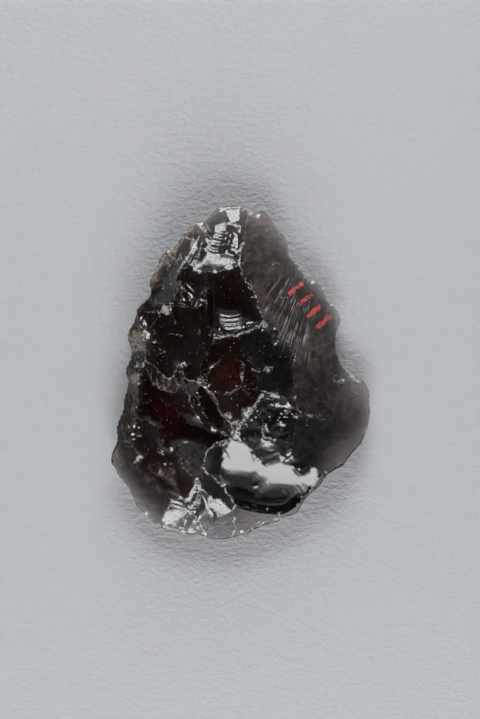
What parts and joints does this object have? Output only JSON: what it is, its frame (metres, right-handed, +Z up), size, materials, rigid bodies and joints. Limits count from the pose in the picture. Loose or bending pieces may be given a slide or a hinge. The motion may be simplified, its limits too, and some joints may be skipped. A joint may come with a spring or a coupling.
{
  "type": "obsidian chunk",
  "caption": "Knapped chunk of volcanic glass with a pear-shaped outline, concave flake scars, a high ridge and thin see-through edges, lying on a flat underside.",
  "frame": {"origin": "under the middle of the stone's box, on the surface that it lies on", "axes": "+Z up from the resting surface, +Y towards the narrow end, +X towards the thin see-through edge"},
  "size_m": [0.0516, 0.0666, 0.018],
  "materials": {
    "volcanic_glass": "natural black volcanic glass, glossy conchoidal fracture, dark red-brown streaks, grey and see-through where thin, crushed white along some ridges"
  },
  "bodies": {
    "root": {"obsidian_chunk": "volcanic_glass"}
  },
  "joints": []
}
